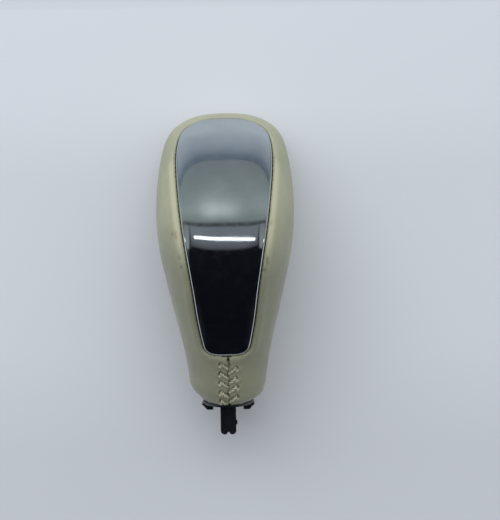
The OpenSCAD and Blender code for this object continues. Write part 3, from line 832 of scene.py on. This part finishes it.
buttonRise = frontY(buttonZ + button["tiltReach"]) - frontY(buttonZ - button["tiltReach"])
buttonTilt = math.atan(buttonRise / (2 * button["tiltReach"]))
buttonAt = np.array([0.0, float(frontY(buttonZ)), buttonZ])
buttonOut = np.array([0.0, math.cos(buttonTilt), -math.sin(buttonTilt)])
buttonUp = np.array([0.0, math.sin(buttonTilt), math.cos(buttonTilt)])


def buttonPlace(points):
    d = points - buttonAt
    return np.stack([d[:, 0], d @ buttonUp, d @ buttonOut], -1)


# The body's front surface above a point of the button's plane, then moved out
def frontPoint(across, along, out):
    across, along = np.broadcast_arrays(np.asarray(across, float), np.asarray(along, float))
    deep = np.zeros_like(across)
    for _ in range(6):
        z = buttonAt[2] + along * buttonUp[2] + deep * buttonOut[2]
        _, half, mid, _, toFront, _ = sectionAt(rowAt(z))
        n = body["frontPower"]
        y = mid + toFront * (1 - np.clip(np.abs(across) / half, 0, 1) ** n) ** (1 / n)
        deep = (y - buttonAt[1]) * buttonOut[1] + (z - buttonAt[2]) * buttonOut[2]
    base = np.stack([across, buttonAt[1] + along * buttonUp[1] + deep * buttonOut[1],
                     buttonAt[2] + along * buttonUp[2] + deep * buttonOut[2]], -1)
    return base + out * buttonOut


def stadium(radius, count, short):
    angles = np.linspace(0, 2 * math.pi, count, endpoint=False)
    ends = np.where(np.sin(angles) > -1e-9, buttonReach, short - buttonReach)
    return radius * np.cos(angles), radius * np.sin(angles) + ends


def lathedStadium(profile, short=0.0, count=96):
    points, faces = [], []
    for radius, out in profile:
        x, y = stadium(max(radius, 1e-5), count, short)
        points.append(frontPoint(x, y, out))
    for r in range(len(profile) - 1):
        for k in range(count):
            a, b = r * count + k, r * count + (k + 1) % count
            faces.append((a, b, b + count, a + count))
    return np.vstack(points), faces


def buildButton():
    r = button["width"] / 2
    top, edge, low = button["proud"], button["edge"], -button["capBelow"]
    dome = [(r * k / 7, top + button["dome"] * (1 - (k / 7) ** 2)) for k in range(6)]
    rounding = [(r - edge + edge * math.sin(a), top - edge + edge * math.cos(a))
                for a in np.linspace(0, math.pi / 2, 8)]
    profile = dome + rounding + [(r, low), (r - 1.2 * mm, low), (0.0, low)]
    cap = makeMesh("buttonCap", *lathedStadium(profile, button["swingGap"]), looks["black_plastic"])
    tidyMesh(cap, 3e-5)
    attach(cap, "button")
    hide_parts("button_cap")
    inside = r + button["gap"]
    outside = inside + button["bezel"]
    lip, low = button["bezelLip"], -button["bezelBelow"]
    ring = [(inside, low), (inside, lip - 0.25 * mm), (inside + 0.25 * mm, lip),
            (inside + 0.7 * mm, lip + 0.05 * mm), (outside - 0.35 * mm, lip),
            (outside - 0.05 * mm, lip - 0.3 * mm), (outside, lip - 0.6 * mm), (outside, low), (inside, low)]
    bezel = makeMesh("buttonBezel", *lathedStadium(ring), looks["black_plastic"])
    tidyMesh(bezel)
    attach(bezel, "knob")
    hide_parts("button_bezel")


buildCover()
buildButton()
print("leather cover and button made")

# bright trim plate
plate = {
    "columns": 72,
    "rows": 260,
    "gather": 1.25,
    "thick": 1.0 * mm,
    "rim": 0.86 * mm,
    "rimRise": 0.07 * mm,
    "rimDrop": 0.17 * mm,
    "rimFlatter": 0.85,
    "rimFlatterFrom": (84 * mm, 8 * mm),
}


def ringFaces(first, second):
    count = len(first)
    return [(first[(k + 1) % count], first[k], second[k], second[(k + 1) % count]) for k in range(count)]


def buildPlate():
    inset = plate["rim"]
    low, high = trimLow + inset, trimHigh - inset
    heights = trimHeights(plate["rows"] + 1)
    heights = low + (heights - trimLow) * (high - low) / (trimHigh - trimLow)
    across = np.linspace(-1, 1, plate["columns"] + 1)
    across = np.sign(across) * (1 - (1 - np.abs(across)) ** plate["gather"])
    z = np.repeat(heights[:, None], len(across), 1)
    x = insetWidth(heights, inset)[:, None] * across
    u = rowAt(z)
    turn = turnAt(u, x) * np.sign(x)
    base = bodyPoint(u, turn).reshape(-1, 3)
    normal = bodyNormal(u, turn).reshape(-1, 3)
    tall, wide = z.shape
    loop = ([(0, c) for c in range(wide)] + [(r, wide - 1) for r in range(1, tall)]
            + [(tall - 1, c) for c in range(wide - 2, -1, -1)] + [(r, 0) for r in range(tall - 2, 0, -1)])
    edge = [r * wide + c for r, c in loop]
    rimTop, rimNormal = base[edge], normal[edge]
    outward = np.cross(np.roll(rimTop, -3, 0) - np.roll(rimTop, 3, 0), rimNormal)
    outward /= np.maximum(np.linalg.norm(outward, axis=1, keepdims=True), 1e-12)
    squares = [r * wide + c for r in range(tall - 1) for c in range(wide - 1)]
    points = [base - trim["sink"] * normal]
    faces = [(a, a + 1, a + wide + 1, a + wide) for a in squares]
    # the rim: a narrow rounded bead, then the side, closed underneath
    rise, drop = plate["rimRise"], plate["rimDrop"]
    flatter = 1 - plate["rimFlatter"] * fade(rimTop[:, 2:3], *plate["rimFlatterFrom"])
    steps = [(0.05, -0.15 * rise), (0.15, -0.8 * rise), (0.24, -rise), (0.34, -0.8 * rise),
             (0.84, drop), (0.93, 1.5 * drop), (0.985, 2.2 * drop), (1.0, 3 * drop)]
    start, previous = tall * wide, edge
    for out, down in [(s, d * flatter) for s, d in steps] + [(1.0, plate["thick"])]:
        points.append(rimTop + outward * (out * inset) - rimNormal * (trim["sink"] + down))
        current = list(range(start, start + len(edge)))
        faces += ringFaces(previous, current)
        start, previous = start + len(edge), current
    points.append(base - (trim["sink"] + plate["thick"]) * normal)
    faces += [(start + a, start + a + wide, start + a + wide + 1, start + a + 1) for a in squares]
    faces += ringFaces(previous, [start + a for a in edge])
    obj = makeMesh("trimPlate", np.vstack(points), faces, looks["chrome_trim"])
    tidyMesh(obj)
    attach(obj, "knob")
    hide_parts("chrome_trim")


buildPlate()
print("trim plate made")


# stitches: each runs from its hole down to the seam, as a wire that Geometry Nodes turn into thread
def stitchPath(hx, hz):
    inwards = math.copysign(stitch["sunk"], hx)
    whole = min(1, (hz - body["bottom"] - 0.3 * mm) / stitch["drop"])
    path = []
    for t in np.linspace(0, 1, stitch["samples"]):
        x = hx * (1 - t * whole) + inwards * t * whole
        z = hz - stitch["drop"] * t * whole
        arch = stitch["arch"] * math.sin(math.pi * min(1, 0.1 + t * 0.85)) - stitch["sunk"]
        ends = [max(0, 1 - part / stitch["diveShare"]) ** 2 for part in (t, 1 - t)]
        out = arch - stitch["dive"] * sum(ends)
        path.append(rearPoint(np.array(x + stitch["aside"]), np.array(max(z, 0.4 * mm)), out))
    return path


# Thread: two plies laid side by side and twisted along each path
def threadTree():
    tree = bpy.data.node_groups.new("twistedThread", "GeometryNodeTree")
    face = tree.interface
    face.new_socket("Geometry", in_out="INPUT", socket_type="NodeSocketGeometry")
    names = {}
    for label, kind in (("Ply radius", "Float"), ("Ply offset", "Float"), ("Twist", "Float"),
                        ("Thread look", "Material")):
        names[label] = face.new_socket(label, in_out="INPUT", socket_type="NodeSocket" + kind).identifier
    face.new_socket("Geometry", in_out="OUTPUT", socket_type="NodeSocketGeometry")
    new = tree.nodes.new
    link = tree.links.new
    start, end = new("NodeGroupInput"), new("NodeGroupOutput")
    curve = new("GeometryNodeMeshToCurve")
    parameter = new("GeometryNodeSplineParameter")
    tilt = new("GeometryNodeSetCurveTilt")
    circle = addNode(tree, "GeometryNodeCurvePrimitiveCircle", Resolution=12)
    join = new("GeometryNodeJoinGeometry")
    for sign in (-1.0, 1.0):
        shift = new("ShaderNodeCombineXYZ")
        move = new("GeometryNodeTransform")
        link(calc(tree, "MULTIPLY", start.outputs["Ply offset"], sign), shift.inputs["X"])
        link(circle.outputs["Curve"], move.inputs["Geometry"])
        link(shift.outputs["Vector"], move.inputs["Translation"])
        link(move.outputs["Geometry"], join.inputs["Geometry"])
    tube = new("GeometryNodeCurveToMesh")
    tube.inputs["Fill Caps"].default_value = True
    smooth = new("GeometryNodeSetShadeSmooth")
    real = new("GeometryNodeRealizeInstances")
    paint = new("GeometryNodeSetMaterial")
    twist = calc(tree, "MULTIPLY", parameter.outputs["Length"], start.outputs["Twist"])
    link(start.outputs["Geometry"], curve.inputs["Mesh"])
    link(curve.outputs["Curve"], tilt.inputs["Curve"])
    link(twist, tilt.inputs["Tilt"])
    link(start.outputs["Ply radius"], circle.inputs["Radius"])
    link(tilt.outputs["Curve"], tube.inputs["Curve"])
    link(join.outputs["Geometry"], tube.inputs["Profile Curve"])
    link(tube.outputs["Mesh"], smooth.inputs["Geometry"])
    link(smooth.outputs["Geometry"], real.inputs["Geometry"])
    link(real.outputs["Geometry"], paint.inputs["Geometry"])
    link(start.outputs["Thread look"], paint.inputs["Material"])
    link(paint.outputs["Geometry"], end.inputs["Geometry"])
    return tree, names


def buildStitches():
    points, edges = [], []
    for hx, hz in stitchHoles():
        path = stitchPath(hx, hz)
        base = len(points)
        points.extend(path)
        edges.extend((base + i, base + i + 1) for i in range(len(path) - 1))
    mesh = bpy.data.meshes.new("stitchPaths")
    mesh.from_pydata([tuple(p) for p in points], edges, [])
    wires = newObject("stitchPaths", mesh)
    tree, names = threadTree()
    sewing = wires.modifiers.new("sewing", "NODES")
    sewing.node_group = tree
    sewing[names["Ply radius"]] = stitch["plyRadius"]
    sewing[names["Ply offset"]] = stitch["plyOffset"]
    sewing[names["Twist"]] = stitch["twistPerMetre"]
    sewing[names["Thread look"]] = looks["seam_stitching"]
    graph = bpy.context.evaluated_depsgraph_get()
    made = bpy.data.meshes.new_from_object(wires.evaluated_get(graph), depsgraph=graph)
    obj = newObject("seamStitching", made)
    bpy.data.objects.remove(wires)
    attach(obj, "knob")
    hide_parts("seam_stitching")


buildStitches()
print("stitches made")

# machined and moulded pieces keep their CAD shape, with small bevels
finish = {
    "rodBevel": 0.16 * mm,
    "collarBevel": 0.14 * mm,
    "flatUpTo": 1.0,
    "bevelFrom": 35,
    "sharpFrom": 40,
}


def beveled(node, bodyName, slotName, width):
    mesh = nodes[node].data.copy()
    mesh.materials.clear()
    mesh.materials.append(looks[slotName])
    obj = newObject(node + "Finished", mesh)
    work = bmesh.new()
    work.from_mesh(mesh)
    bmesh.ops.remove_doubles(work, verts=work.verts, dist=2e-6)
    flat = math.radians(finish["flatUpTo"])
    bmesh.ops.dissolve_limit(work, angle_limit=flat, verts=work.verts, edges=work.edges)
    work.to_mesh(mesh)
    work.free()
    bevel = obj.modifiers.new("edge", "BEVEL")
    bevel.width = width
    bevel.segments = 2
    bevel.limit_method = "ANGLE"
    bevel.angle_limit = math.radians(finish["bevelFrom"])
    bevel.harden_normals = False
    mesh.polygons.foreach_set("use_smooth", [True] * len(mesh.polygons))
    mesh.set_sharp_from_angle(angle=math.radians(finish["sharpFrom"]))
    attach(obj, bodyName)
    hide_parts(node)


beveled("push_rod", "rod", "black_plastic", finish["rodBevel"])
beveled("lower_collar", "knob", "black_plastic", finish["collarBevel"])

slotOf = {s["node"]: s["material_slot"] for s in frame["record"]["subparts"]}
for name, obj in nodes.items():
    if not obj.data.materials:
        obj.data.materials.append(None)
    for i in range(len(obj.data.materials)):
        obj.data.materials[i] = looks[slotOf[name]]
print("CAD pieces painted")

# camera
lift = math.radians(view["elevation"])
back = Vector((0, -math.cos(lift), math.sin(lift)))
camData = bpy.data.cameras.new("viewCamera")
camData.lens = view["lens"]
camData.sensor_width = 36.0
camData.clip_start = 0.01
camData.clip_end = 50.0
camera = newObject("viewCamera", camData)
facing = (-back).to_track_quat("-Z", "Y").to_matrix().to_4x4()
camera.matrix_world = (Matrix.Translation(Vector(view["target"]) + back * view["distance"]) @ facing
                       @ Matrix.Rotation(math.radians(-view["roll"]), 4, "Z"))
bpy.context.scene.camera = camera

# The pale table stands upright behind the knob and touches its front, as the photograph shows it from
# above. Below the head it leans towards the neck, because the real knob lies tipped with its neck down.
tableY = float(np.max(frontY(np.linspace(0.6, 0.97, 60) * body["height"]))) + button["proud"] + table["gap"]


# Seen from behind the table is clear. Its colour carries painted shade, darker towards the bottom and far
# out. The plate mirrors it with a painted reflection, brighter below and darker above.
def tableTop():
    material, tree, _ = newMaterial("paleTable")
    tree.nodes.clear()
    out = addNode(tree, "ShaderNodeOutputMaterial")
    diffuse = addNode(tree, "ShaderNodeBsdfDiffuse")
    clear = addNode(tree, "ShaderNodeBsdfTransparent")
    side = addNode(tree, "ShaderNodeNewGeometry")
    pick = addNode(tree, "ShaderNodeMixShader")
    rays = addNode(tree, "ShaderNodeLightPath")
    height = splitPlace(tree)[2]
    fall = calc(tree, "SQRT", rangeOf(tree, height, *table["nearToFar"]))
    upwards = rangeOf(tree, height, *table["lowToNear"])
    plain = mixColours(tree, fall, mixColours(tree, upwards, table["low"], table["near"]), table["far"])
    upper = rangeOf(tree, height, *table["mirrorChange"])
    shade = mixColours(tree, upper, table["mirroredLow"], table["mirrored"])
    tone = mixColours(tree, rays.outputs["Is Glossy Ray"], plain, shade, "MULTIPLY")
    tree.links.new(tone, diffuse.inputs["Color"])
    tree.links.new(side.outputs["Backfacing"], pick.inputs["Fac"])
    tree.links.new(diffuse.outputs["BSDF"], pick.inputs[1])
    tree.links.new(clear.outputs["BSDF"], pick.inputs[2])
    tree.links.new(pick.outputs["Shader"], out.inputs["Surface"])
    return material


half = table["size"] / 2
steep = math.tan(math.radians(table["lean"]))
bend = table["bendLength"]
drops = [half + table["bendTop"], *np.linspace(bend, 0, table["bendSteps"] + 1), table["bendTop"] - half]
tablePoints = []
for drop in drops:
    inBend = min(max(drop, 0.0), bend)
    y = tableY - steep * (inBend * inBend / (2 * bend) + max(drop - bend, 0.0))
    tablePoints += [(-half, y, table["bendTop"] - drop), (half, y, table["bendTop"] - drop)]
tableFaces = [(2 * i, 2 * i + 1, 2 * i + 3, 2 * i + 2) for i in range(len(drops) - 1)]
tableObj = makeMesh("paleTable", tablePoints, tableFaces, tableTop())
tableObj.visible_shadow = False

# lamps
lamps = {
    "window": {"at": (-0.15, -0.5, 0.47), "size": (0.9, 0.6), "power": 2.6, "colour": (0.97, 0.985, 1.0)},
    "room": {"at": (0.3, -0.8, 0.2), "size": (0.7, 0.7), "power": 0.4, "colour": (1.0, 0.99, 0.97)},
    "front": {"at": (0.1, 0.7, 0.35), "size": (0.6, 0.6), "power": 3.0, "colour": (1.0, 1.0, 1.0)},
}
aim = Vector((0, 0.0, 0.05))
for name, lamp in lamps.items():
    data = bpy.data.lights.new(name, "AREA")
    data.shape = "RECTANGLE"
    data.size, data.size_y = lamp["size"]
    data.energy = lamp["power"]
    data.color = lamp["colour"]
    obj = newObject(name, data)
    obj.location = lamp["at"]
    obj.rotation_mode = "QUATERNION"
    obj.rotation_quaternion = (aim - Vector(lamp["at"])).to_track_quat("-Z", "Y")
    obj.visible_glossy = False

# Painted reflection: the room that the bright plate mirrors, seen by glossy rays only and drawn by the angle
# up from the camera's side:
# a dark lower room, a grey ceiling band with one lamp tube, a dark joint and a pale wall.
room = {
    "above": (1.22, 1.25, 1.29),
    "below": (0.22, 0.22, 0.225),
    "softBetween": (-0.5, 0.9),
    "bend": 7.0,
    "edgeBend": 32.0,
    "bands": [
        (-180, (0.95, 1.0, 1.06)), (-88, (0.95, 1.0, 1.06)), (-80, (0.02, 0.02, 0.025)),
        (-60, (0.005, 0.006, 0.010)), (-20, (0.006, 0.0065, 0.010)), (0, (0.010, 0.0105, 0.013)),
        (8, (0.075, 0.08, 0.09)), (20, (0.14, 0.15, 0.17)), (29, (0.21, 0.23, 0.26)),
        (40, (0.23, 0.26, 0.29)), (48.5, (0.22, 0.25, 0.28)), (50, (0.07, 0.085, 0.09)),
        (53, (0.08, 0.10, 0.10)), (55.5, (0.26, 0.305, 0.305)), (68, (0.36, 0.415, 0.415)),
        (76, (0.325, 0.38, 0.38)), (86, (0.275, 0.32, 0.33)), (93, (0.26, 0.30, 0.32)),
        (98, (0.26, 0.31, 0.35)), (180, (0.5, 0.54, 0.58)),
    ],
    "tubeAngle": 31.5,
    "tubeSlope": -4.6,
    "tubeBend": 7.0,
    "tubeHalf": 2.6,
    "tubeSoft": 0.7,
    "tubeReach": 0.57,
    "tubeEndSoft": 0.02,
    "tubeLight": (2.2, 2.25, 2.3),
    "dipAngle": 13.5,
    "dipBend": 13.0,
    "dipSoft": (-1.5, 3.5),
    "darkFrom": -20.0,
    "dark": (0.0065, 0.007, 0.0105),
    "sideFrom": 0.785,
    "sideSlope": -0.0028,
    "sideCorner": (57.0, 0.008),
    "sideUneven": -0.03,
    "sideFoot": (12.0, 18.0),
    "sideHead": (36.0, 64.0),
    "sideSoft": (0.015, 0.045),
    "sideLight": (0.32, 0.355, 0.35),
    "sideLineSoft": (0.012, 0.04),
    "sideLineShare": 0.8,
    "sideLine": (0.045, 0.055, 0.055),
    "tableBelow": (-77.0, -69.0),
    "tableBeside": (0.80, 0.87),
    "glowAngle": 66.0,
    "glowSide": -0.10,
    "glowSpread": (6.5, 0.2),
    "glowShare": 0.6,
    "glowLight": (0.85, 0.95, 0.94),
}
world = bpy.data.worlds.new("studio")
bpy.context.scene.world = world
world.use_nodes = True


def paintWorld(tree):
    side, depth, height = splitPlace(tree, "Generated")

    def do(operation, a, b=0.0):
        return calc(tree, operation, a, b)

    def along(value, between, low=0.0, high=1.0):
        return rangeOf(tree, value, *between, low, high)

    raw = do("DEGREES", do("ARCTAN2", height, do("MULTIPLY", depth, -1.0)))
    square = do("MULTIPLY", side, side)
    fourth = do("MULTIPLY", square, square)
    bent = do("ADD", do("MULTIPLY", square, room["bend"]), do("MULTIPLY", fourth, room["edgeBend"]))
    angle = do("SUBTRACT", raw, bent)
    ramp = addNode(tree, "ShaderNodeValToRGB")
    tree.links.new(along(angle, (-180, 180)), ramp.inputs["Fac"])
    stops = ramp.color_ramp.elements
    while len(stops) < len(room["bands"]):
        stops.new(1.0)
    for stop, (degrees, colour) in zip(stops, room["bands"]):
        stop.position = (degrees + 180) / 360
        stop.color = (*colour, 1)
    # the lower edge of the grey band hangs down in the middle
    edge = do("ADD", do("MULTIPLY", square, room["dipBend"]), room["dipAngle"])
    lit = along(do("SUBTRACT", raw, edge), room["dipSoft"])
    above = do("MAXIMUM", lit, do("LESS_THAN", raw, room["darkFrom"]))
    colour = mixColours(tree, above, room["dark"], ramp.outputs["Color"])
    # pale things at both sides of the room, with a dark line at their inner edge
    out = do("ABSOLUTE", side)
    corner, rise = room["sideCorner"]
    turnUp = do("MULTIPLY", do("MAXIMUM", do("SUBTRACT", raw, corner), 0.0), rise)
    startsAt = do("ADD", do("MULTIPLY", raw, room["sideSlope"]), do("ADD", turnUp, room["sideFrom"]))
    uneven = do("MULTIPLY", do("GREATER_THAN", side, 0.0), room["sideUneven"])
    past = do("SUBTRACT", out, do("ADD", startsAt, uneven))
    there = do("MULTIPLY", along(raw, room["sideFoot"]), along(raw, room["sideHead"], 1.0, 0.0))
    line = along(do("ABSOLUTE", past), room["sideLineSoft"], room["sideLineShare"], 0.0)
    colour = mixColours(tree, do("MULTIPLY", line, there), colour, room["sideLine"])
    outer = along(past, room["sideSoft"])
    colour = mixColours(tree, do("MULTIPLY", outer, there), colour, room["sideLight"])
    # the pale table straight below and far out at both sides
    colour = mixColours(tree, along(raw, room["tableBelow"], 1.0, 0.0), colour, table["behind"])
    colour = mixColours(tree, along(out, room["tableBeside"]), colour, table["behind"])
    # a painted soft glow on the wall, seen only by glossy rays
    glowUp = do("DIVIDE", do("SUBTRACT", angle, room["glowAngle"]), room["glowSpread"][0])
    glowOut = do("DIVIDE", do("SUBTRACT", side, room["glowSide"]), room["glowSpread"][1])
    far = do("ADD", do("MULTIPLY", glowUp, glowUp), do("MULTIPLY", glowOut, glowOut))
    glow = do("MULTIPLY", do("EXPONENT", do("MULTIPLY", far, -1.0)), room["glowShare"])
    colour = mixColours(tree, glow, colour, room["glowLight"])
    # the painted lamp tube, seen only by glossy rays
    middle = do("ADD", do("MULTIPLY", square, room["tubeBend"]), room["tubeAngle"])
    middle = do("ADD", do("MULTIPLY", side, room["tubeSlope"]), middle)
    off = do("ABSOLUTE", do("SUBTRACT", raw, middle))
    edges = [(at - soft, at + soft) for at, soft in ((room["tubeHalf"], room["tubeSoft"]),
                                                     (room["tubeReach"], room["tubeEndSoft"]))]
    tube = do("MULTIPLY", along(off, edges[0], 1.0, 0.0), along(out, edges[1], 1.0, 0.0))
    colour = mixColours(tree, tube, colour, room["tubeLight"])
    # soft light for all else
    plain = mixColours(tree, along(height, room["softBetween"]), room["below"], room["above"])
    rays = addNode(tree, "ShaderNodeLightPath").outputs
    plain = mixColours(tree, rays["Is Camera Ray"], plain, table["behind"])
    final = mixColours(tree, rays["Is Glossy Ray"], plain, colour)
    background = tree.nodes["Background"]
    tree.links.new(final, background.inputs["Color"])
    background.inputs["Strength"].default_value = 1.0


paintWorld(world.node_tree)
bpy.context.scene.view_settings.view_transform = "Standard"
print("camera, table, lamps and room made")
